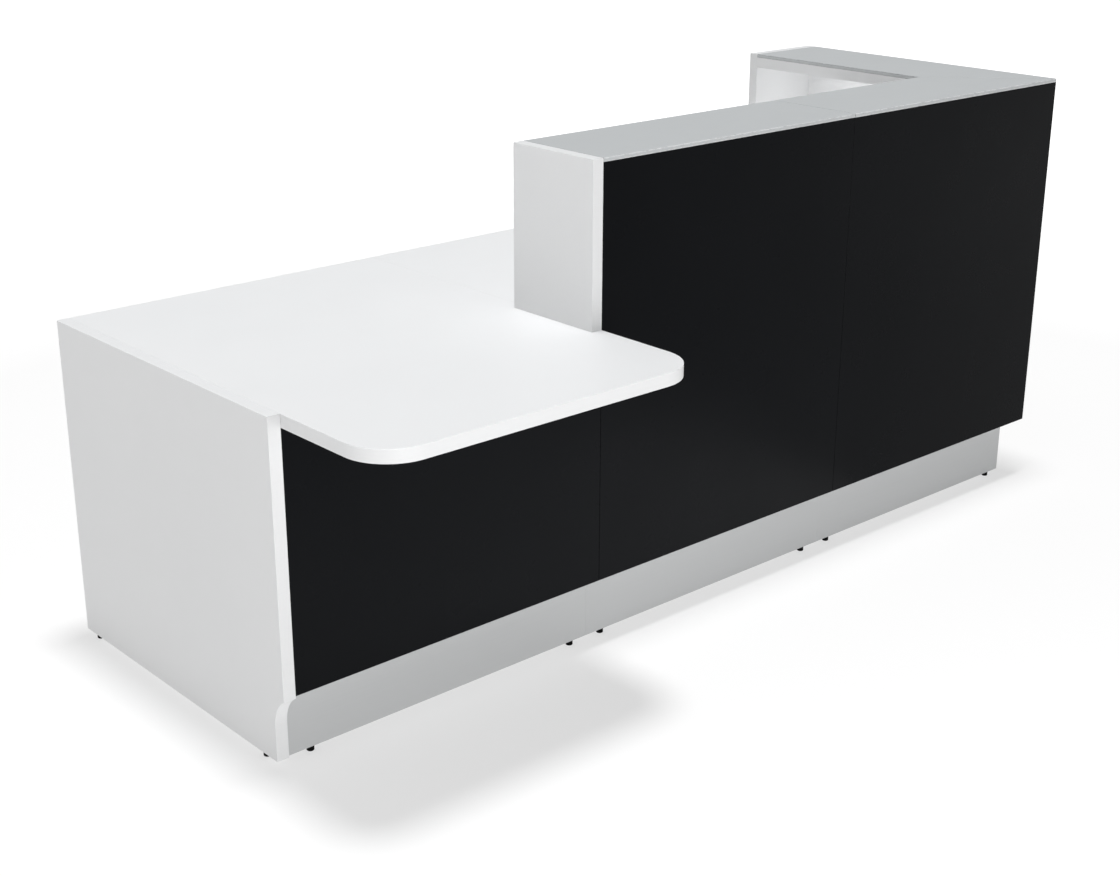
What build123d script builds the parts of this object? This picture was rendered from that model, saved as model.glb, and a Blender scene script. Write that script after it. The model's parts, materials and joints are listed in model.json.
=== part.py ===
from build123d import *

import os
from math import acos, degrees

# Modular checkout counter: a low till module, a high module and a high corner module with a short wing.
# Sizes are in millimetres. The origin is on the floor at the middle of the whole outline.
# +X runs along the customers' front towards the corner, +Y towards the staff and +Z up.

# Driving dimensions
MODULE = 800            # width of a straight module, and of the corner module inside its panels
BOARD = 28              # end panels, worktops, plinths and partitions
CARCASS = 18            # front boards and decks
CLADDING = 4            # coloured front panels
COVER = 9               # grey cover on the high shelf
LOW_HEIGHT = 746        # top of the low worktop
HIGH_HEIGHT = 1111      # top of the high shelf
SHELF_DEPTH = 252       # high shelf, from the front face
OVERHANG = 300          # low worktop in front of the front face
CORNER_RADIUS = 100     # front corners of the low worktop
FOOT_HEIGHT = 15        # gap between the boards and the floor
PANEL_BOTTOM = 166      # lower edge of the front panels
PLINTH_RECESS = 42      # plinth face behind the front face
DECK_DEPTH = 100        # deck board on top of the plinth
EDGE = 2                # edge band thickness
SEAM = 0.5              # half of the gap between two front panels or covers
EDGE_BREAK = 0.4        # broken edge on sawn boards
COVER_BREAK = 0.8       # broken edge on the covers
FOOT_BREAK = 1
ROUNDING = 1            # rounded edge on bands and covers

# Lower front notch of the end panels, which clears toes in line with the plinth
NOTCH_DEPTH = 36.5
NOTCH_RADIUS = 78
NOTCH_SPRING = 95       # height where the straight part ends and the arc begins

# Levelling feet
FOOT_RADIUS = 8
STEM_RADIUS = 4
STEM_LENGTH = 22
INSERT_RADIUS = 6
INSERT_LENGTH = 26
STEM_CLEARANCE = 0.05
FLUTES = 12             # grip flutes round a foot's pad
FLUTE_RADIUS = 0.8
FLUTE_START = 3         # below this height the pad is plain
END_FEET = (95, 787)    # feet of an end panel, from its front edge
PLINTH_FEET = {"low": (62, 38), "mid": (56, 46), "corner": (52, 77)}   # from the module's two ends
SIDE_FEET = (170, 762)  # feet of the side plinth, from the front face
SHORT_PARTITION_FOOT = 212

# Fixings
DOWEL_RADIUS = 4
DOWEL_LENGTH = 30
CONFIRMAT_RADIUS = 3.5
CONFIRMAT_LENGTH = 50
CONFIRMAT_HEAD_RADIUS = 5
CONFIRMAT_HEAD = 4
SCREW_RADIUS = 2
SCREW_LENGTH = 16
SCREW_HEAD_RADIUS = 4
SCREW_HEAD = 1.8
BRACKET_LEG = 40
BRACKET_WIDTH = 30
BRACKET_GAUGE = 2.5
BRACKET_HOLE = 26       # hole centre from the bracket's corner
BRACKET_HOLE_RADIUS = 2.3
SCREW_RECESS = (4, 0.9, 1)      # each bar of the cross recess in a screw's head: length, width, depth
CONFIRMAT_SOCKET = (2, 3)       # hex socket in a confirmat's head: radius across corners, depth
BRACKET_LEVELS = (300, 600)     # heights of the upright brackets
BRACKET_SETBACK = 92            # brackets between worktops and uprights, from the front face
SIDE_BRACKETS = (300, 620)      # brackets under the corner worktop's side, from the front face
STAGGER = 30                    # keeps screws that cross at one level apart
SIDE_CONFIRMATS = (180, 480, 780)   # along the wing, from the front face
UPPER_CONFIRMATS = (50, 202)    # up into the upper end panel, from the front face
FACE_DEPTH = 12                 # dowel depth into a board's face

# Dowel places along each joint, from the front face unless noted
END_DOWELS = (150, 450, 750)
PARTITION_DOWELS = (300, 600)
WORKTOP_DOWELS = (300, 480, 660)
SHELF_DOWELS = (60, 190)
DIVIDER_DOWELS = (90, 190)
WING_DOWELS = (120, 400, 680)   # from the corner module's start
WING_SHELF_DOWELS = (50, 180)   # from the wing shelf's staff edge
PLINTH_DOWELS = (60, 125)       # heights

# Flat steel plates that join the two high worktops from below
PLATE_LENGTH = 120
PLATE_WIDTH = 60
PLATE_GAUGE = 3
PLATE_HOLE_X = 40       # plate hole centres from its middle
PLATE_HOLE_Y = 18
PLATE_Y = (400, 740)    # plate middles from the front face

# Places worked out from the driving dimensions
PANEL_ZONE = CLADDING + CARCASS
DEPTH = PANEL_ZONE + MODULE
LENGTH = BOARD + 2 * MODULE + DEPTH
WING = DEPTH + BOARD

X_LEFT = -LENGTH / 2
X_LOW = X_LEFT + BOARD
X_MID = X_LOW + MODULE
X_CORNER = X_MID + MODULE
X_RIGHT = LENGTH / 2
X_INSIDE = X_RIGHT - PANEL_ZONE
X_CARCASS = X_RIGHT - CLADDING
X_PLINTH = X_RIGHT - PLINTH_RECESS
X_PLINTH_BACK = X_PLINTH - BOARD
X_DECK = X_INSIDE - DECK_DEPTH
X_SHELF = X_RIGHT - SHELF_DEPTH

Y_FRONT = OVERHANG - (OVERHANG + WING) / 2
Y_OVERHANG = Y_FRONT - OVERHANG
Y_CARCASS = Y_FRONT + CLADDING
Y_INSIDE = Y_FRONT + PANEL_ZONE
Y_PLINTH = Y_FRONT + PLINTH_RECESS
Y_PLINTH_BACK = Y_PLINTH + BOARD
Y_DECK = Y_INSIDE + DECK_DEPTH
Y_SHELF = Y_FRONT + SHELF_DEPTH
Y_STAFF = Y_FRONT + DEPTH

Z_DECK = PANEL_BOTTOM + CARCASS
Z_UNDER = LOW_HEIGHT - BOARD
Z_COVER = HIGH_HEIGHT - COVER
Z_SHELF = Z_COVER - BOARD

LOW_END = Plane(origin=(X_LEFT, Y_FRONT, 0), x_dir=(0, 1, 0), z_dir=(1, 0, 0))
WING_END = Plane(origin=(X_RIGHT, Y_STAFF, 0), x_dir=(-1, 0, 0), z_dir=(0, 1, 0))
UPPER_END = Plane(origin=(X_MID - BOARD, Y_FRONT, 0), x_dir=(0, 1, 0), z_dir=(1, 0, 0))

# Centre of each levelling foot
PLINTH_MIDDLE = Y_PLINTH + BOARD / 2
SIDE_MIDDLE = X_RIGHT - PLINTH_RECESS - BOARD / 2
MODULE_SPANS = {"low": (X_LOW, X_MID), "mid": (X_MID, X_CORNER), "corner": (X_CORNER, X_RIGHT)}
FEET = {
    "foot_low_end_front": (X_LEFT + BOARD / 2, Y_FRONT + END_FEET[0]),
    "foot_low_end_rear": (X_LEFT + BOARD / 2, Y_FRONT + END_FEET[1]),
    "foot_low_partition": (X_MID, Y_FRONT + END_FEET[1]),
    "foot_high_partition": (X_CORNER, Y_FRONT + SHORT_PARTITION_FOOT),
    "foot_side_plinth_front": (SIDE_MIDDLE, Y_FRONT + SIDE_FEET[0]),
    "foot_side_plinth_rear": (SIDE_MIDDLE, Y_FRONT + SIDE_FEET[1]),
    "foot_wing_end_outer": (X_RIGHT - END_FEET[0], Y_STAFF + BOARD / 2),
    "foot_wing_end_inner": (X_RIGHT - END_FEET[1], Y_STAFF + BOARD / 2),
}
for module, (from_start, from_end) in PLINTH_FEET.items():
    start, end = MODULE_SPANS[module]
    FEET[f"foot_{module}_plinth_left"] = (start + from_start, PLINTH_MIDDLE)
    FEET[f"foot_{module}_plinth_right"] = (end - from_end, PLINTH_MIDDLE)

# Directions for brackets and fixings
EAST, WEST = Vector(1, 0, 0), Vector(-1, 0, 0)
NORTH, SOUTH = Vector(0, 1, 0), Vector(0, -1, 0)
UP, DOWN = Vector(0, 0, 1), Vector(0, 0, -1)
FROM_BASE = (Align.CENTER, Align.CENTER, Align.MIN)


def from_front(places):
    """Places along Y that are given from the front face."""
    return [Y_FRONT + place for place in places]


def pair(start, share):
    """Two places along a module that starts at the given x, a share of its width from each end."""
    return (start + share * MODULE, start + (1 - share) * MODULE)


def bracket_plane(corner, first, second):
    """A bracket's plane: its legs run from the corner along the two given directions."""
    return Plane(origin=corner, x_dir=first, z_dir=first.cross(second))


# Each upright stands beside the inside corner of a bracket; toward is the side that the bracket is on
UPRIGHT_SIDES = [
    (X_LOW, EAST),
    (X_MID - BOARD / 2, WEST),
    (X_MID + BOARD / 2, EAST),
    (X_CORNER - BOARD / 2, WEST),
    (X_CORNER + BOARD / 2, EAST),
]
BRACKETS = []
for x, toward in UPRIGHT_SIDES:
    BRACKETS.append(bracket_plane((x, Y_FRONT + BRACKET_SETBACK, Z_UNDER), toward, DOWN))
    for z in BRACKET_LEVELS:
        BRACKETS.append(bracket_plane((x, Y_INSIDE, z), toward, NORTH))
for z in BRACKET_LEVELS:
    BRACKETS.append(bracket_plane((X_INSIDE, Y_INSIDE, z), WEST, NORTH))
    BRACKETS.append(bracket_plane((X_INSIDE, Y_STAFF, z), SOUTH, WEST))
for start in (X_LOW, X_MID, X_CORNER):
    for x in pair(start, share=1 / 4):
        BRACKETS.append(bracket_plane((x, Y_INSIDE, Z_UNDER), NORTH, DOWN))
for y in from_front(SIDE_BRACKETS):
    BRACKETS.append(bracket_plane((X_INSIDE, y, Z_UNDER), WEST, DOWN))

PLATES = [Plane(origin=(X_CORNER, y, Z_UNDER), z_dir=DOWN) for y in from_front(PLATE_Y)]

# A screw starts at the top of its head and points into the board
SCREWS = []
for plane in BRACKETS:
    stand = BRACKET_GAUGE + SCREW_HEAD
    on_first = plane.from_local_coords(Vector(BRACKET_HOLE, stand, 0))
    on_second = plane.from_local_coords(Vector(stand, BRACKET_HOLE, 0))
    SCREWS.append(Plane(origin=on_first, z_dir=-plane.y_dir))
    SCREWS.append(Plane(origin=on_second, z_dir=-plane.x_dir))
for plane in PLATES:
    for i in (-1, 1):
        for j in (-1, 1):
            hole = Vector(i * PLATE_HOLE_X, j * PLATE_HOLE_Y, PLATE_GAUGE + SCREW_HEAD)
            SCREWS.append(Plane(origin=plane.from_local_coords(hole), z_dir=UP))

# A confirmat starts flush with the face that it is driven through
FRONT_BOARD_MIDDLE = Y_CARCASS + CARCASS / 2
SIDE_BOARD_MIDDLE = X_CARCASS - CARCASS / 2
DECK_LEVEL = PANEL_BOTTOM + CARCASS / 2
CONFIRMATS = []
for start in (X_LOW, X_MID, X_CORNER):
    for x in pair(start, share=1 / 8):
        CONFIRMATS.append(Plane(origin=(x, PLINTH_MIDDLE, Z_DECK), z_dir=DOWN))
        CONFIRMATS.append(Plane(origin=(x + STAGGER, Y_CARCASS, DECK_LEVEL), z_dir=NORTH))
for start in (X_MID, X_CORNER):
    for x in pair(start, share=1 / 8):
        CONFIRMATS.append(Plane(origin=(x, FRONT_BOARD_MIDDLE, Z_COVER), z_dir=DOWN))
for y in from_front(SIDE_CONFIRMATS):
    CONFIRMATS.append(Plane(origin=(SIDE_MIDDLE, y, Z_DECK), z_dir=DOWN))
    CONFIRMATS.append(Plane(origin=(X_CARCASS, y - STAGGER, DECK_LEVEL), z_dir=WEST))
    CONFIRMATS.append(Plane(origin=(SIDE_BOARD_MIDDLE, y, Z_COVER), z_dir=DOWN))
for y in from_front(UPPER_CONFIRMATS):
    CONFIRMATS.append(Plane(origin=(X_MID - BOARD / 2, y, Z_UNDER), z_dir=UP))

# A dowel starts at one end and points along its length
WORKTOP_LEVEL = LOW_HEIGHT - BOARD / 2
SHELF_LEVEL = Z_COVER - BOARD / 2
DOWELS = []
for y in from_front(END_DOWELS):
    DOWELS.append(Plane(origin=(X_LOW - FACE_DEPTH, y, WORKTOP_LEVEL), z_dir=EAST))
for y in from_front(WORKTOP_DOWELS):
    DOWELS.append(Plane(origin=(X_CORNER - DOWEL_LENGTH / 2, y, WORKTOP_LEVEL), z_dir=EAST))
for y in from_front(SHELF_DOWELS):
    DOWELS.append(Plane(origin=(X_MID - FACE_DEPTH, y, SHELF_LEVEL), z_dir=EAST))
for along in WING_DOWELS:
    DOWELS.append(Plane(origin=(X_CORNER + along, Y_STAFF + FACE_DEPTH, WORKTOP_LEVEL), z_dir=SOUTH))
for along in WING_SHELF_DOWELS:
    DOWELS.append(Plane(origin=(X_SHELF + along, Y_STAFF + FACE_DEPTH, SHELF_LEVEL), z_dir=SOUTH))
for side in (-BOARD / 4, BOARD / 4):
    for y in from_front(PARTITION_DOWELS):
        DOWELS.append(Plane(origin=(X_MID + side, y, Z_UNDER + FACE_DEPTH), z_dir=DOWN))
    for y in from_front(DIVIDER_DOWELS):
        DOWELS.append(Plane(origin=(X_CORNER + side, y, Z_SHELF + FACE_DEPTH), z_dir=DOWN))
        DOWELS.append(Plane(origin=(X_CORNER + side, y, LOW_HEIGHT - FACE_DEPTH), z_dir=UP))
for z in PLINTH_DOWELS:
    DOWELS.append(Plane(origin=(X_LOW - FACE_DEPTH, PLINTH_MIDDLE, z), z_dir=EAST))
    DOWELS.append(Plane(origin=(SIDE_MIDDLE, Y_STAFF + FACE_DEPTH, z), z_dir=SOUTH))
    DOWELS.append(Plane(origin=(SIDE_MIDDLE, Y_PLINTH_BACK - FACE_DEPTH, z), z_dir=NORTH))

INSERTS = [Plane(origin=(x, y, FOOT_HEIGHT), z_dir=UP) for x, y in FEET.values()]


def draw_dowel(mode=Mode.ADD):
    """A plain round dowel."""
    Cylinder(DOWEL_RADIUS, DOWEL_LENGTH, align=FROM_BASE, mode=mode)


def draw_confirmat(mode=Mode.ADD):
    """A confirmat screw: a thick shank under a countersunk head."""
    Cylinder(CONFIRMAT_RADIUS, CONFIRMAT_LENGTH, align=FROM_BASE, mode=mode)
    Cone(CONFIRMAT_HEAD_RADIUS, CONFIRMAT_RADIUS, CONFIRMAT_HEAD, align=FROM_BASE, mode=mode)


def draw_screw(mode=Mode.ADD):
    """A pan-head wood screw."""
    Cylinder(SCREW_RADIUS, SCREW_LENGTH + SCREW_HEAD, align=FROM_BASE, mode=mode)
    Cylinder(SCREW_HEAD_RADIUS, SCREW_HEAD, align=FROM_BASE, mode=mode)


def draw_insert(mode=Mode.ADD):
    """The outside of a threaded insert."""
    Cylinder(INSERT_RADIUS, INSERT_LENGTH, align=FROM_BASE, mode=mode)


FIXINGS = [
    (DOWELS, draw_dowel, DOWEL_LENGTH, DOWEL_RADIUS),
    (CONFIRMATS, draw_confirmat, CONFIRMAT_LENGTH, CONFIRMAT_HEAD_RADIUS),
    (SCREWS, draw_screw, SCREW_LENGTH + SCREW_HEAD, SCREW_RADIUS),
    (INSERTS, draw_insert, INSERT_LENGTH, INSERT_RADIUS),
]


def reaches(plane, length, radius, box):
    """Whether a fixing that starts at a plane comes inside a box."""
    start = plane.origin
    end = start + plane.z_dir * length
    for axis in ("X", "Y", "Z"):
        a, b = sorted((getattr(start, axis), getattr(end, axis)))
        if b + radius <= getattr(box.min, axis) or a - radius >= getattr(box.max, axis):
            return False
    return True


def bore_fixings(builder):
    """Bores the pocket of every fixing that reaches into the piece being made."""
    box = builder.part.bounding_box()
    for planes, draw, length, radius in FIXINGS:
        near = [plane for plane in planes if reaches(plane, length, radius, box)]
        if near:
            with Locations(*near):
                draw(Mode.SUBTRACT)


def keep(part, label):
    """Labels a finished piece and writes it as its own node."""
    part.label = label
    export_step(part, f"parts/{label}.step")


def make_board(label, x_range, y_range, z_range, edge_break=EDGE_BREAK):
    """A rectangular board between two values on each axis, with its edges broken and its fixings bored."""
    centre = (sum(x_range) / 2, sum(y_range) / 2)
    with BuildPart() as board:
        with BuildSketch(Plane.XY.offset(z_range[0])):
            with Locations(centre):
                Rectangle(x_range[1] - x_range[0], y_range[1] - y_range[0])
        extrude(amount=z_range[1] - z_range[0])
        chamfer(board.edges(), edge_break)
        bore_fixings(board)
    keep(board.part, label)


def end_outline(inset, high):
    """An end panel's face, brought in by inset on its banded edges; high gives the stepped panel."""
    centre = NOTCH_DEPTH - NOTCH_RADIUS
    radius = NOTCH_RADIUS + inset
    sweep = degrees(acos((inset - centre) / radius))
    step = SHELF_DEPTH - inset
    low_top = LOW_HEIGHT - inset
    high_top = HIGH_HEIGHT - inset
    back = DEPTH - inset
    with BuildLine() as edge:
        heel = Line((NOTCH_DEPTH + inset, FOOT_HEIGHT), (NOTCH_DEPTH + inset, NOTCH_SPRING))
        toe = CenterArc((centre, NOTCH_SPRING), radius, 0, sweep)
        if high:
            Polyline(
                toe @ 1, (inset, high_top), (step, high_top), (step, low_top),
                (back, low_top), (back, FOOT_HEIGHT), heel @ 0,
            )
        else:
            Polyline(toe @ 1, (inset, low_top), (back, low_top), (back, FOOT_HEIGHT), heel @ 0)
    make_face(edge.edges())


def low_end_outline(inset):
    """The plain end panel of the low module."""
    end_outline(inset, high=False)


def wing_end_outline(inset):
    """The stepped end panel of the wing."""
    end_outline(inset, high=True)


def upper_end_outline(inset):
    """The face of the end panel that stands on the low worktop."""
    with Locations((SHELF_DEPTH / 2, (LOW_HEIGHT + HIGH_HEIGHT - inset) / 2)):
        Rectangle(SHELF_DEPTH - 2 * inset, HIGH_HEIGHT - LOW_HEIGHT - inset)


def worktop_outline(inset):
    """The low worktop's outline with two round front corners."""
    with Locations((X_LOW + MODULE / 2, (Y_OVERHANG + Y_STAFF) / 2)):
        outline = Rectangle(MODULE - 2 * inset, OVERHANG + DEPTH - 2 * inset)
    fillet(outline.vertices().group_by(Axis.Y)[0], CORNER_RADIUS - inset)


def make_banded(label, plane, draw_outline, foot_edge=None):
    """A board with its edge band: the core and the band are two nodes.

    The band's long edges are rounded, apart from those at the height of an unbanded foot edge.
    """
    with BuildPart() as core:
        with BuildSketch(plane):
            draw_outline(EDGE)
        extrude(amount=BOARD)
        bore_fixings(core)
    keep(core.part, label)

    with BuildPart() as band:
        with BuildSketch(plane):
            draw_outline(0)
        extrude(amount=BOARD)
        faces = band.faces().filter_by(Axis(plane.origin, plane.z_dir))
        rims = [edge for face in faces for edge in face.outer_wire().edges()]
        fillet([edge for edge in rims if edge.center().Z != foot_edge], ROUNDING)
        with BuildSketch(plane):
            draw_outline(EDGE)
        extrude(amount=BOARD, mode=Mode.SUBTRACT)
        bore_fixings(band)
    keep(band.part, f"{label}_edge_band")


def make_mitred(label, corners, z_range, top_break):
    """A shelf board or cover with a mitred end and broken top edges."""
    with BuildPart() as board:
        with BuildSketch(Plane.XY.offset(z_range[0])):
            with BuildLine():
                Polyline(*corners, close=True)
            make_face()
        extrude(amount=z_range[1] - z_range[0])
        chamfer(board.edges().group_by(Axis.Z)[-1], top_break)
        bore_fixings(board)
    keep(board.part, label)


def make_partition(label, x_middle, back):
    """An upright board between two modules, notched over the plinth."""
    with BuildPart() as partition:
        with BuildSketch(Plane.YZ.offset(x_middle - BOARD / 2)):
            with BuildLine():
                Polyline(
                    (Y_PLINTH_BACK, FOOT_HEIGHT), (back, FOOT_HEIGHT), (back, Z_UNDER),
                    (Y_INSIDE, Z_UNDER), (Y_INSIDE, PANEL_BOTTOM), (Y_PLINTH_BACK, PANEL_BOTTOM),
                    close=True,
                )
            make_face()
        extrude(amount=BOARD)
        chamfer(partition.edges().filter_by(Axis.Z).group_by(Axis.Y)[-1], EDGE_BREAK)
        bore_fixings(partition)
    keep(partition.part, label)


def make_foot(label, x, y):
    """A levelling foot: a moulded pad with its stem."""
    with BuildPart() as foot:
        with BuildSketch(Plane.XY):
            with Locations((x, y)):
                Circle(FOOT_RADIUS)
        extrude(amount=FOOT_HEIGHT)
        chamfer(foot.edges().filter_by(GeomType.CIRCLE).group_by(Axis.Z)[0], FOOT_BREAK)
        with Locations((x, y, FLUTE_START)):
            with PolarLocations(FOOT_RADIUS, FLUTES):
                Cylinder(FLUTE_RADIUS, FOOT_HEIGHT, align=FROM_BASE, mode=Mode.SUBTRACT)
        with BuildSketch(Plane.XY.offset(FOOT_HEIGHT)):
            with Locations((x, y)):
                Circle(STEM_RADIUS)
        extrude(amount=STEM_LENGTH)
    keep(foot.part, label)


os.makedirs("parts", exist_ok=True)

# Height spans that several boards share
PLINTH_SPAN = (FOOT_HEIGHT, PANEL_BOTTOM)
DECK_SPAN = (PANEL_BOTTOM, Z_DECK)
LOW_SPAN = (PANEL_BOTTOM, Z_UNDER)
HIGH_BOARD_SPAN = (PANEL_BOTTOM, Z_SHELF)
HIGH_PANEL_SPAN = (PANEL_BOTTOM, Z_COVER)
WORKTOP_SPAN = (Z_UNDER, LOW_HEIGHT)
SHELF_SPAN = (Z_SHELF, Z_COVER)
COVER_SPAN = (Z_COVER, HIGH_HEIGHT)

# Spans along Y of the boards that run along the front
PANEL_ROW = (Y_FRONT, Y_CARCASS)
BOARD_ROW = (Y_CARCASS, Y_INSIDE)
PLINTH_ROW = (Y_PLINTH, Y_PLINTH_BACK)
DECK_ROW = (Y_INSIDE, Y_DECK)

# Low module
make_banded("low_end_panel", LOW_END, low_end_outline, FOOT_HEIGHT)
make_banded("low_worktop", Plane.XY.offset(Z_UNDER), worktop_outline)
make_board("low_front_panel", (X_LOW, X_MID - SEAM), PANEL_ROW, LOW_SPAN)
make_board("low_front_board", (X_LOW, X_MID), BOARD_ROW, LOW_SPAN)
make_board("low_plinth", (X_LOW, X_MID), PLINTH_ROW, PLINTH_SPAN)
make_board("low_deck", (X_LOW, X_MID - BOARD / 2), DECK_ROW, DECK_SPAN)
make_partition("low_partition", X_MID, Y_STAFF)

# High module
make_banded("upper_end_panel", UPPER_END, upper_end_outline, LOW_HEIGHT)
make_board("mid_front_panel", (X_MID + SEAM, X_CORNER - SEAM), PANEL_ROW, HIGH_PANEL_SPAN)
make_board("mid_front_board", (X_MID, X_CORNER), BOARD_ROW, HIGH_BOARD_SPAN)
make_board("mid_plinth", (X_MID, X_CORNER), PLINTH_ROW, PLINTH_SPAN)
make_board("mid_deck", (X_MID + BOARD / 2, X_CORNER - BOARD / 2), DECK_ROW, DECK_SPAN)
make_board("mid_worktop", (X_MID, X_CORNER), (Y_INSIDE, Y_STAFF), WORKTOP_SPAN)
make_board("mid_shelf", (X_MID, X_CORNER), (Y_CARCASS, Y_SHELF), SHELF_SPAN)
make_board("mid_cover", (X_MID, X_CORNER - SEAM), (Y_FRONT, Y_SHELF), COVER_SPAN, COVER_BREAK)
make_partition("high_partition", X_CORNER, Y_SHELF)
DIVIDER_COLUMN = (X_CORNER - BOARD / 2, X_CORNER + BOARD / 2)
make_board("shelf_divider", DIVIDER_COLUMN, (Y_INSIDE, Y_SHELF), (LOW_HEIGHT, Z_SHELF))

# Corner module, front part
make_board("corner_front_panel", (X_CORNER + SEAM, X_RIGHT), PANEL_ROW, HIGH_PANEL_SPAN)
make_board("corner_front_board", (X_CORNER, X_CARCASS), BOARD_ROW, HIGH_BOARD_SPAN)
make_board("corner_front_plinth", (X_CORNER, X_PLINTH), PLINTH_ROW, PLINTH_SPAN)
make_board("corner_front_deck", (X_CORNER + BOARD / 2, X_INSIDE), DECK_ROW, DECK_SPAN)
make_board("corner_worktop", (X_CORNER, X_INSIDE), (Y_INSIDE, Y_STAFF), WORKTOP_SPAN)
make_mitred(
    "corner_front_shelf",
    [(X_CORNER, Y_CARCASS), (X_CARCASS, Y_CARCASS), (X_SHELF, Y_SHELF), (X_CORNER, Y_SHELF)],
    SHELF_SPAN,
    EDGE_BREAK,
)
make_mitred(
    "corner_front_cover",
    [(X_CORNER + SEAM, Y_FRONT), (X_RIGHT, Y_FRONT), (X_SHELF, Y_SHELF), (X_CORNER + SEAM, Y_SHELF)],
    COVER_SPAN,
    COVER_BREAK,
)

# Corner module, the wing towards the staff
make_board("corner_side_panel", (X_CARCASS, X_RIGHT), (Y_CARCASS, Y_STAFF), HIGH_PANEL_SPAN)
make_board("corner_side_board", (X_INSIDE, X_CARCASS), (Y_INSIDE, Y_STAFF), HIGH_BOARD_SPAN)
make_board("corner_side_plinth", (X_PLINTH_BACK, X_PLINTH), (Y_PLINTH_BACK, Y_STAFF), PLINTH_SPAN)
make_board("corner_side_deck", (X_DECK, X_INSIDE), (Y_DECK, Y_STAFF), DECK_SPAN)
make_mitred(
    "corner_side_shelf",
    [(X_CARCASS, Y_CARCASS), (X_CARCASS, Y_STAFF), (X_SHELF, Y_STAFF), (X_SHELF, Y_SHELF)],
    SHELF_SPAN,
    EDGE_BREAK,
)
make_mitred(
    "corner_side_cover",
    [(X_RIGHT, Y_FRONT), (X_RIGHT, Y_STAFF), (X_SHELF, Y_STAFF), (X_SHELF, Y_SHELF)],
    COVER_SPAN,
    COVER_BREAK,
)
make_banded("wing_end_panel", WING_END, wing_end_outline, FOOT_HEIGHT)

# Hardware: each node is a group of identical pieces
with BuildPart() as foot_inserts:
    with Locations(*INSERTS):
        draw_insert()
        Cylinder(STEM_RADIUS + STEM_CLEARANCE, INSERT_LENGTH, align=FROM_BASE, mode=Mode.SUBTRACT)
keep(foot_inserts.part, "foot_inserts")

with BuildPart(mode=Mode.PRIVATE) as bracket:
    with BuildSketch(Plane.XY.offset(-BRACKET_WIDTH / 2)):
        with BuildLine():
            Polyline(
                (0, 0), (BRACKET_LEG, 0), (BRACKET_LEG, BRACKET_GAUGE), (BRACKET_GAUGE, BRACKET_GAUGE),
                (BRACKET_GAUGE, BRACKET_LEG), (0, BRACKET_LEG),
                close=True,
            )
        make_face()
    extrude(amount=BRACKET_WIDTH)
    first_hole = Plane(origin=(BRACKET_HOLE, 0, 0), z_dir=NORTH)
    second_hole = Plane(origin=(0, BRACKET_HOLE, 0), z_dir=EAST)
    with Locations(first_hole, second_hole):
        Cylinder(BRACKET_HOLE_RADIUS, BRACKET_GAUGE, align=FROM_BASE, mode=Mode.SUBTRACT)
with BuildPart() as angle_brackets:
    with Locations(*BRACKETS):
        add(bracket.part)
keep(angle_brackets.part, "angle_brackets")

with BuildPart() as joint_plates:
    with Locations(*PLATES):
        Box(PLATE_LENGTH, PLATE_WIDTH, PLATE_GAUGE, align=FROM_BASE)
        with GridLocations(2 * PLATE_HOLE_X, 2 * PLATE_HOLE_Y, 2, 2):
            Cylinder(BRACKET_HOLE_RADIUS, PLATE_GAUGE, align=FROM_BASE, mode=Mode.SUBTRACT)
keep(joint_plates.part, "joint_plates")

with BuildPart() as bracket_screws:
    bar, width, depth = SCREW_RECESS
    with Locations(*SCREWS):
        draw_screw()
        Box(bar, width, depth, align=FROM_BASE, mode=Mode.SUBTRACT)
        Box(width, bar, depth, align=FROM_BASE, mode=Mode.SUBTRACT)
keep(bracket_screws.part, "bracket_screws")

with BuildPart() as confirmat_screws:
    corner, depth = CONFIRMAT_SOCKET
    with Locations(*CONFIRMATS):
        draw_confirmat()
    with BuildSketch(*CONFIRMATS):
        RegularPolygon(corner, 6)
    extrude(amount=depth, mode=Mode.SUBTRACT)
keep(confirmat_screws.part, "confirmat_screws")

with BuildPart() as dowels:
    with Locations(*DOWELS):
        draw_dowel()
keep(dowels.part, "dowels")

for label, (x, y) in FEET.items():
    make_foot(label, x, y)
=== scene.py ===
import json
from math import radians, tan

import bpy
from mathutils import Matrix, Vector


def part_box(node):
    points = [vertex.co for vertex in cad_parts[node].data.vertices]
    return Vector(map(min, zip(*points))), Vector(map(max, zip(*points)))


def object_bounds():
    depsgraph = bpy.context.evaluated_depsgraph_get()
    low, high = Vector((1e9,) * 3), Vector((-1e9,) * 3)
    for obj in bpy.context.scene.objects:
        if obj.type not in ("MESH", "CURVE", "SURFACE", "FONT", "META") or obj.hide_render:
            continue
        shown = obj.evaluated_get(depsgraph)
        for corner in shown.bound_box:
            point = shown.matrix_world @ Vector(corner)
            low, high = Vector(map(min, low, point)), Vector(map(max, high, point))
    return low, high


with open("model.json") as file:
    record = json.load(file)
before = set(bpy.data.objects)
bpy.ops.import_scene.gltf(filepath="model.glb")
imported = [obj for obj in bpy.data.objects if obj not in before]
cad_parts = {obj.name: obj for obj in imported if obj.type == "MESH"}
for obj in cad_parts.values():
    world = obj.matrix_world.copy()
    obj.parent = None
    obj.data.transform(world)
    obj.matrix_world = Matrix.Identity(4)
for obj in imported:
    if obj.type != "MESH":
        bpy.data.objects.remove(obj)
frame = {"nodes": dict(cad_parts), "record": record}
cad_low, cad_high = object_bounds()

# ---------------------------------------------------------------- camera
TARGET_ALONG = 0.273      # share of the counter's length, from the low end
TARGET_IN = 0.220         # share of its depth, from the overhanging edge
TARGET_UP = 0.5           # share of its height
CAMERA_DISTANCE = 3.592
CAMERA_HEADING = radians(41.771)   # from +Y towards +X
CAMERA_TILT = radians(20.263)      # below the horizon
CAMERA_ROLL = radians(0.149)
LENS = 55.83
SENSOR = 36.0

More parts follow.
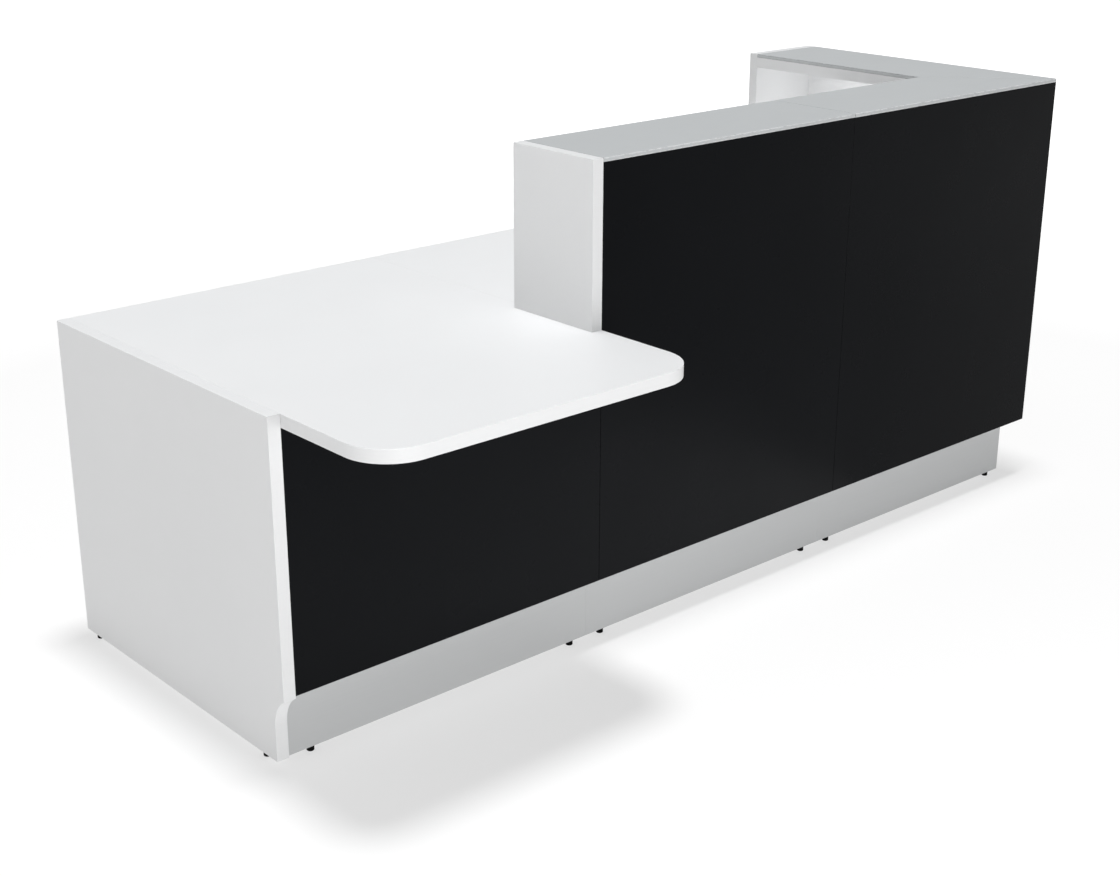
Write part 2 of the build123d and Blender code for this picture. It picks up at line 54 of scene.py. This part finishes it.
# ---------------------------------------------------------------- light and floor
UP = Vector((0.0, 0.0, 1.0))
PLAIN_WHITE = (1.0, 1.0, 1.0, 1.0)
FLOOR_SIZE = 60.0
FLOOR_COLOR = 0.35
FLOOR_GLOW = 0.585                 # up to FLOOR_NEAR metres from the counter's middle
FLOOR_GLOW_FAR = 1.0               # from FLOOR_FAR metres on
FLOOR_NEAR = 2.5
FLOOR_FAR = 6.0
DOME_BRIGHT = 0.50                 # behind the low end
DOME_DIM = 0.05                    # in front of the high end
DOME_DIM_SIDE = (0.75, -0.66, 0.0)
DOME_SEEN = 1.0                    # how bright the camera sees it
KEY_LEAN = radians(3.0)            # from straight above, towards the low end
KEY_SPREAD = radians(12.0)
KEY_STRENGTH = 2.60
KEY_COLOR = (0.982, 0.991, 1.0)
FLOOR_KEY_HEIGHT = 15.0            # a disc that lights only the floor, for the shadow straight below
FLOOR_KEY_ASIDE = 0.25
FLOOR_KEY_SIZE = 2.6
FLOOR_KEY_POWER = 2000.0
FRONT_DISTANCE = 2.3               # a softbox in front of the low end
FRONT_SIZE = (2.0, 1.0)
FRONT_POWER = 30.5
BOUNCE_SIZE = (1.9, 1.3)           # a card on the floor that lights only the black panels
BOUNCE_ASIDE = -0.15
BOUNCE_GAP = 0.17
BOUNCE_HEIGHT = 0.003
BOUNCE_POWER = 9.0
SHELF_FILL_SIZE = (0.20, 0.16)     # under the wing's shelf, turned to its end panel
SHELF_FILL_IN = 0.03
SHELF_FILL_GAP = 0.32
SHELF_FILL_POWER = 0.42

# ---------------------------------------------------------------- finishes
WHITE = (0.802, 0.805, 0.808, 1.0)
WHITE_SHADE = (0.789, 0.793, 0.797, 1.0)
WHITE_WORN = (0.700, 0.698, 0.690, 1.0)
BAND = (0.795, 0.798, 0.802, 1.0)
BAND_SHADE = (0.778, 0.782, 0.786, 1.0)
BLACK = (0.0028, 0.0032, 0.0041, 1.0)
BLACK_SHADE = (0.0021, 0.0025, 0.0033, 1.0)
BLACK_WORN = (0.012, 0.012, 0.013, 1.0)
SILVER = (0.520, 0.528, 0.532, 1.0)
SILVER_SHADE = (0.509, 0.517, 0.521, 1.0)
SILVER_WORN = (0.60, 0.61, 0.61, 1.0)
COVER = (0.536, 0.552, 0.558, 1.0)
COVER_SHADE = (0.524, 0.540, 0.546, 1.0)
# painted highlight: the pale colour laid along the cover's outer edges
COVER_PAINTED_HIGHLIGHT = (0.900, 0.905, 0.905, 1.0)
# painted shade: the dark colour laid along the cover's edges that face the low end, at each joint
COVER_PAINTED_SEAM_SHADE = (0.120, 0.125, 0.130, 1.0)
PLASTIC = (0.0022, 0.0022, 0.0024, 1.0)
PLASTIC_SHADE = (0.0032, 0.0032, 0.0032, 1.0)
PLASTIC_WORN = (0.010, 0.010, 0.0095, 1.0)
ZINC = (0.600, 0.610, 0.620, 1.0)
ZINC_SHADE = (0.480, 0.480, 0.460, 1.0)
ZINC_WORN = (0.36, 0.35, 0.33, 1.0)
BEECH = (0.560, 0.370, 0.210, 1.0)
BEECH_SHADE = (0.420, 0.250, 0.130, 1.0)
BEECH_WORN = (0.30, 0.18, 0.09, 1.0)

NOISE_LOW = 0.3                    # where a noise's usual values start and end
NOISE_HIGH = 0.7
BEVEL_SAMPLES = 4
EDGE_FULL = 0.85                   # dot product of rounded and flat normals on a sharp edge
EDGE_NONE = 0.995                  # and on a plain face
FACING_NONE = 0.1                  # dot product of an edge's normal and the wanted direction
FACING_FULL = 0.3
MIX_COLORS = (6, 7)                # a Mix node's two colour inputs
MIX_RESULT = 2                     # and its colour output
ALONG_X = (0.6, 220.0, 220.0)      # these stretch a noise into a grain
ALONG_Y = (220.0, 0.6, 220.0)
EDGE_BAND_STRETCH = (1.0, 1.0, 18.0)
BEECH_STRETCH = (4.0, 30.0, 30.0)
COVER_HIGHLIGHT_FACING = (0.7, -0.7, 0.0)     # the customers' side and the high end, whose cover edges get a painted highlight
COVER_SEAM_SHADE_FACING = (-1.0, 0.0, 0.0)     # towards the low end, whose cover edges get a painted shade line that marks each joint


class Finish:
    """A procedural material whose textures are laid out in metres on the counter."""

    def __init__(self, name, metallic=0.0, specular=0.5):
        self.material = bpy.data.materials.new(name)
        self.material.use_nodes = True
        self.nodes = self.material.node_tree.nodes
        self.links = self.material.node_tree.links
        self.shader = self.nodes["Principled BSDF"]
        self.shader.inputs["Metallic"].default_value = metallic
        self.shader.inputs["Specular IOR Level"].default_value = specular
        self.metres = self.nodes.new("ShaderNodeTexCoord").outputs["Object"]

    def stretched(self, scale):
        mapping = self.nodes.new("ShaderNodeMapping")
        mapping.inputs["Scale"].default_value = scale
        self.links.new(self.metres, mapping.inputs["Vector"])
        return mapping.outputs["Vector"]

    def noise(self, per_metre, detail=2.0, stretch=None):
        texture = self.nodes.new("ShaderNodeTexNoise")
        texture.inputs["Scale"].default_value = per_metre
        texture.inputs["Detail"].default_value = detail
        source = self.stretched(stretch) if stretch else self.metres
        self.links.new(source, texture.inputs["Vector"])
        return texture.outputs["Fac"]

    def clouds(self, per_metre, detail=3.0):
        return self.between(self.noise(per_metre, detail), 0.0, 1.0)

    def between(self, value, low, high, start=NOISE_LOW, end=NOISE_HIGH):
        """What runs from start to end in value becomes a number from low to high."""
        spread = self.nodes.new("ShaderNodeMapRange")
        spread.inputs["From Min"].default_value = start
        spread.inputs["From Max"].default_value = end
        spread.inputs["To Min"].default_value = low
        spread.inputs["To Max"].default_value = high
        self.links.new(value, spread.inputs["Value"])
        return spread.outputs["Result"]

    def times(self, first, second):
        product = self.nodes.new("ShaderNodeMath")
        product.operation = "MULTIPLY"
        self.links.new(first, product.inputs[0])
        self.links.new(second, product.inputs[1])
        return product.outputs["Value"]

    def edges(self, width, patches=60.0, start=0.42, end=0.68, facing=None):
        """1 on the sharp edges, or only those facing one way, broken up by a noise; 0 on the faces."""
        rounded = self.nodes.new("ShaderNodeBevel")
        rounded.samples = BEVEL_SAMPLES
        rounded.inputs["Radius"].default_value = width
        flat = self.nodes.new("ShaderNodeNewGeometry")
        same = self.nodes.new("ShaderNodeVectorMath")
        same.operation = "DOT_PRODUCT"
        self.links.new(rounded.outputs["Normal"], same.inputs[0])
        self.links.new(flat.outputs["Normal"], same.inputs[1])
        edge = self.between(same.outputs["Value"], 1.0, 0.0, EDGE_FULL, EDGE_NONE)
        if facing:
            outward = self.nodes.new("ShaderNodeVectorMath")
            outward.operation = "DOT_PRODUCT"
            outward.inputs[1].default_value = facing
            self.links.new(rounded.outputs["Normal"], outward.inputs[0])
            side = self.between(outward.outputs["Value"], 0.0, 1.0, FACING_NONE, FACING_FULL)
            edge = self.times(edge, side)
        broken = self.between(self.noise(patches, detail=4.0), 0.0, 1.0, start, end)
        return self.times(edge, broken)

    def mixed(self, factor, first, second):
        mix = self.nodes.new("ShaderNodeMix")
        mix.data_type = "RGBA"
        self.links.new(factor, mix.inputs["Factor"])
        for place, color in zip(MIX_COLORS, (first, second)):
            if isinstance(color, tuple):
                mix.inputs[place].default_value = color
            else:
                self.links.new(color, mix.inputs[place])
        return mix.outputs[MIX_RESULT]

    def color(self, value):
        self.links.new(value, self.shader.inputs["Base Color"])

    def roughness(self, value):
        self.links.new(value, self.shader.inputs["Roughness"])

    def bump(self, height, depth, strength):
        relief = self.nodes.new("ShaderNodeBump")
        relief.inputs["Distance"].default_value = depth
        relief.inputs["Strength"].default_value = strength
        self.links.new(height, relief.inputs["Height"])
        self.links.new(relief.outputs["Normal"], self.shader.inputs["Normal"])


def white_melamine():
    """Satin white board: a fine pearl texture, faint clouding and slightly rubbed edges."""
    finish = Finish("white_melamine", specular=0.22)
    clouds = finish.clouds(2.2)
    pearl = finish.noise(1400.0)
    board = finish.mixed(clouds, WHITE, WHITE_SHADE)
    finish.color(finish.mixed(finish.times(finish.edges(0.0016), clouds), board, WHITE_WORN))
    finish.roughness(finish.between(finish.noise(14.0, detail=4.0), 0.44, 0.54))
    finish.bump(pearl, depth=0.00006, strength=0.35)
    return finish.material


def white_edge_band():
    """Matt white strip with the fine lines that trimming leaves on it."""
    finish = Finish("white_edge_band", specular=0.25)
    trimming = finish.noise(60.0, detail=3.0, stretch=EDGE_BAND_STRETCH)
    finish.color(finish.mixed(finish.between(trimming, 0.0, 1.0), BAND, BAND_SHADE))
    finish.roughness(finish.between(finish.noise(30.0, detail=3.0), 0.42, 0.52))
    finish.bump(finish.noise(1100.0), depth=0.00005, strength=0.3)
    return finish.material


def black_panel():
    """Satin black laminate: slight orange peel, light handling marks and rubbed edges."""
    finish = Finish("black_panel", specular=0.034)
    clouds = finish.clouds(3.0)
    marks = finish.between(finish.noise(9.0, detail=6.0), 0.26, 0.32)
    board = finish.mixed(clouds, BLACK, BLACK_SHADE)
    finish.color(finish.mixed(finish.edges(0.0012), board, BLACK_WORN))
    finish.roughness(marks)
    finish.bump(finish.noise(420.0), depth=0.00005, strength=0.25)
    return finish.material


def silver_laminate(name, stretch):
    """Silver laminate with a fine grain along its length."""
    finish = Finish(name, metallic=0.12)
    grain = finish.noise(4.0, detail=5.0, stretch=stretch)
    clouds = finish.clouds(2.5, detail=2.0)
    board = finish.mixed(finish.between(grain, 0.0, 1.0), SILVER, SILVER_SHADE)
    worn = finish.mixed(finish.times(finish.edges(0.0012), clouds), board, SILVER_WORN)
    finish.color(worn)
    finish.roughness(finish.between(grain, 0.44, 0.54))
    finish.bump(grain, depth=0.00003, strength=0.3)
    return finish.material


def silver_cover():
    """Satin silver-grey cover plates: fine grit, a painted highlight along the outer edges and painted
    shade along the edges that face the low end, which draws a dark line at each joint.
    """
    finish = Finish("silver_cover", metallic=0.08, specular=0.3)
    clouds = finish.clouds(3.0)
    grit = finish.noise(900.0)
    board = finish.mixed(clouds, COVER, COVER_SHADE)
    # painted highlight along the edges facing the customers' side and the high end
    painted_highlight = finish.edges(0.004, patches=90.0, start=0.38, end=0.50, facing=COVER_HIGHLIGHT_FACING)
    # painted shade along the edges facing the low end: a dark line at each joint and on the cover's
    # low-end edges
    painted_seam_shade = finish.edges(0.003, patches=140.0, start=0.25, end=0.50, facing=COVER_SEAM_SHADE_FACING)
    finish.color(finish.mixed(painted_seam_shade, finish.mixed(painted_highlight, board, COVER_PAINTED_HIGHLIGHT), COVER_PAINTED_SEAM_SHADE))
    finish.roughness(finish.between(finish.noise(18.0, detail=4.0), 0.48, 0.54))
    finish.bump(grit, depth=0.00005, strength=0.35)
    return finish.material


def black_plastic():
    """Moulded black plastic, scuffed where it meets the floor."""
    finish = Finish("black_plastic", specular=0.06)
    clouds = finish.clouds(80.0)
    plastic = finish.mixed(clouds, PLASTIC, PLASTIC_SHADE)
    finish.color(finish.mixed(finish.edges(0.0008, patches=300.0), plastic, PLASTIC_WORN))
    finish.roughness(finish.between(finish.noise(200.0, detail=3.0), 0.45, 0.62))
    finish.bump(finish.noise(2600.0), depth=0.00008, strength=0.4)
    return finish.material


def zinc_steel():
    """Zinc-plated steel with a blotchy passivation and duller edges."""
    finish = Finish("zinc_steel", metallic=1.0)
    blotches = finish.clouds(120.0, detail=4.0)
    steel = finish.mixed(blotches, ZINC, ZINC_SHADE)
    finish.color(finish.mixed(finish.edges(0.0006, patches=400.0), steel, ZINC_WORN))
    finish.roughness(finish.between(finish.noise(260.0, detail=4.0), 0.26, 0.44))
    finish.bump(finish.noise(1500.0), depth=0.00003, strength=0.4)
    return finish.material


def beech():
    """Beech dowels with a straight grain and darker flecks."""
    finish = Finish("beech")
    grain = finish.noise(30.0, detail=5.0, stretch=BEECH_STRETCH)
    flecks = finish.between(finish.noise(700.0), 0.0, 1.0, start=0.6, end=0.75)
    wood = finish.mixed(finish.between(grain, 0.0, 1.0), BEECH, BEECH_SHADE)
    finish.color(finish.mixed(flecks, wood, BEECH_WORN))
    finish.roughness(finish.between(grain, 0.55, 0.70))
    finish.bump(grain, depth=0.00010, strength=0.5)
    return finish.material


def dress_nodes():
    """Every CAD node takes the finish of its material slot; a plinth's grain follows its length."""
    slots = {part["node"]: part["material_slot"] for part in frame["record"]["subparts"]}
    finishes = {
        "white_melamine": white_melamine(),
        "white_edge_band": white_edge_band(),
        "black_panel": black_panel(),
        "silver_laminate": silver_laminate("silver_laminate_front", ALONG_X),
        "silver_cover": silver_cover(),
        "black_plastic": black_plastic(),
        "zinc_steel": zinc_steel(),
        "beech": beech(),
    }
    side_laminate = silver_laminate("silver_laminate_side", ALONG_Y)
    for name, node in frame["nodes"].items():
        finish = side_laminate if name == "corner_side_plinth" else finishes[slots[name]]
        for slot in node.material_slots:
            slot.material = finish


def add_camera():
    span = cad_high - cad_low
    shares = Vector((TARGET_ALONG, TARGET_IN, TARGET_UP))
    target = cad_low + Vector(share * size for share, size in zip(shares, span))
    turn = (
        Matrix.Rotation(-CAMERA_HEADING, 4, "Z")
        @ Matrix.Rotation(radians(90.0) - CAMERA_TILT, 4, "X")
        @ Matrix.Rotation(CAMERA_ROLL, 4, "Z")
    )
    eye = target + turn.to_3x3() @ Vector((0.0, 0.0, CAMERA_DISTANCE))
    data = bpy.data.cameras.new("camera")
    data.lens = LENS
    data.sensor_width = SENSOR
    camera = bpy.data.objects.new("camera", data)
    camera.matrix_world = Matrix.Translation(eye) @ turn
    bpy.context.scene.collection.objects.link(camera)
    bpy.context.scene.camera = camera


def add_floor():
    half = FLOOR_SIZE / 2
    corners = [(-half, -half, 0), (half, -half, 0), (half, half, 0), (-half, half, 0)]
    mesh = bpy.data.meshes.new("floor")
    mesh.from_pydata(corners, [], [(0, 1, 2, 3)])
    floor = bpy.data.objects.new("floor", mesh)
    bpy.context.scene.collection.objects.link(floor)
    mesh.materials.append(floor_paper())
    return floor


def floor_paper():
    """White paper that glows, and glows to plain white away from the counter."""
    paper = bpy.data.materials.new("floor_paper")
    paper.use_nodes = True
    nodes = paper.node_tree.nodes
    links = paper.node_tree.links
    shader = nodes["Principled BSDF"]
    shader.inputs["Base Color"].default_value = (FLOOR_COLOR, FLOOR_COLOR, FLOOR_COLOR, 1.0)
    shader.inputs["Roughness"].default_value = 1.0
    shader.inputs["Specular IOR Level"].default_value = 0.0
    shader.inputs["Emission Color"].default_value = PLAIN_WHITE
    place = nodes.new("ShaderNodeTexCoord")
    distance = nodes.new("ShaderNodeVectorMath")
    distance.operation = "LENGTH"
    glow = nodes.new("ShaderNodeMapRange")
    glow.inputs["From Min"].default_value = FLOOR_NEAR
    glow.inputs["From Max"].default_value = FLOOR_FAR
    glow.inputs["To Min"].default_value = FLOOR_GLOW
    glow.inputs["To Max"].default_value = FLOOR_GLOW_FAR
    links.new(place.outputs["Object"], distance.inputs[0])
    links.new(distance.outputs["Value"], glow.inputs["Value"])
    links.new(glow.outputs["Result"], shader.inputs["Emission Strength"])
    return paper


def place_light(name, data, place, toward):
    light = bpy.data.objects.new(name, data)
    light.location = place
    light.rotation_euler = (Vector(toward) - Vector(place)).to_track_quat("-Z", "Y").to_euler()
    light.visible_camera = False
    bpy.context.scene.collection.objects.link(light)
    return light


def area_light(name, size, power, place, toward, shape="RECTANGLE"):
    data = bpy.data.lights.new(name, "AREA")
    data.shape = shape
    data.size, data.size_y = size
    data.energy = power
    return place_light(name, data, place, toward)


def shine_only_on(light, pieces):
    receivers = bpy.data.collections.new(light.name + "_receivers")
    for piece in pieces:
        receivers.objects.link(piece)
    light.light_linking.receiver_collection = receivers


def add_overhead_lights(floor, middle):
    """A key from above for the counter, and one that lays its soft shadow on the floor."""
    data = bpy.data.lights.new("key", "SUN")
    data.angle = KEY_SPREAD
    data.energy = KEY_STRENGTH
    data.color = KEY_COLOR
    above = middle + Vector((-tan(KEY_LEAN), 0.0, 1.0)) * FLOOR_KEY_HEIGHT
    shine_only_on(place_light("key", data, above, middle), frame["nodes"].values())
    front_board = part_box("low_front_board")[0].y
    spot = Vector((middle.x + FLOOR_KEY_ASIDE, front_board, FLOOR_KEY_HEIGHT))
    size = (FLOOR_KEY_SIZE, FLOOR_KEY_SIZE)
    floor_key = area_light("floor_key", size, FLOOR_KEY_POWER, spot, spot - UP, "DISK")
    shine_only_on(floor_key, [floor])


def add_side_lights(middle):
    """A softbox and a bounce card on the customers' side, and a small fill under the wing's shelf."""
    front = (cad_low.x, cad_low.y - FRONT_DISTANCE, middle.z)
    area_light("front", FRONT_SIZE, FRONT_POWER, front, middle)
    panel_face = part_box("low_front_panel")[0].y
    card_middle = panel_face - BOUNCE_GAP - BOUNCE_SIZE[1] / 2
    card = Vector((middle.x + BOUNCE_ASIDE, card_middle, BOUNCE_HEIGHT))
    bounce = area_light("bounce", BOUNCE_SIZE, BOUNCE_POWER, card, card + UP)
    panels = [node for name, node in frame["nodes"].items() if name.endswith("front_panel")]
    shine_only_on(bounce, panels)
    shelf_low, shelf_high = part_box("corner_side_shelf")
    worktop_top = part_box("mid_worktop")[1].z
    height = (worktop_top + shelf_low.z) / 2
    fill = (shelf_low.x + SHELF_FILL_IN, shelf_high.y - SHELF_FILL_GAP, height)
    goal = ((shelf_low.x + shelf_high.x) / 2, shelf_high.y, height)
    area_light("shelf_fill", SHELF_FILL_SIZE, SHELF_FILL_POWER, fill, goal)


def add_dome():
    """A soft dome, dimmer on one side, which the camera sees as plain white."""
    world = bpy.data.worlds.new("dome")
    world.use_nodes = True
    nodes = world.node_tree.nodes
    links = world.node_tree.links
    direction = nodes.new("ShaderNodeTexCoord")
    aside = nodes.new("ShaderNodeVectorMath")
    aside.operation = "DOT_PRODUCT"
    aside.inputs[1].default_value = DOME_DIM_SIDE
    level = nodes.new("ShaderNodeMapRange")
    level.inputs["From Min"].default_value = -1.0
    level.inputs["From Max"].default_value = 1.0
    level.inputs["To Min"].default_value = DOME_BRIGHT
    level.inputs["To Max"].default_value = DOME_DIM
    links.new(direction.outputs["Generated"], aside.inputs[0])
    links.new(aside.outputs["Value"], level.inputs["Value"])
    path = nodes.new("ShaderNodeLightPath")
    seen = nodes.new("ShaderNodeMix")
    seen.inputs["B"].default_value = DOME_SEEN
    links.new(path.outputs["Is Camera Ray"], seen.inputs["Factor"])
    links.new(level.outputs["Result"], seen.inputs["A"])
    links.new(seen.outputs["Result"], nodes["Background"].inputs["Strength"])
    nodes["Background"].inputs["Color"].default_value = PLAIN_WHITE
    bpy.context.scene.world = world


middle = (cad_low + cad_high) / 2
add_camera()
dress_nodes()
add_overhead_lights(add_floor(), middle)
add_side_lights(middle)
add_dome()
bpy.context.scene.view_settings.view_transform = "Standard"
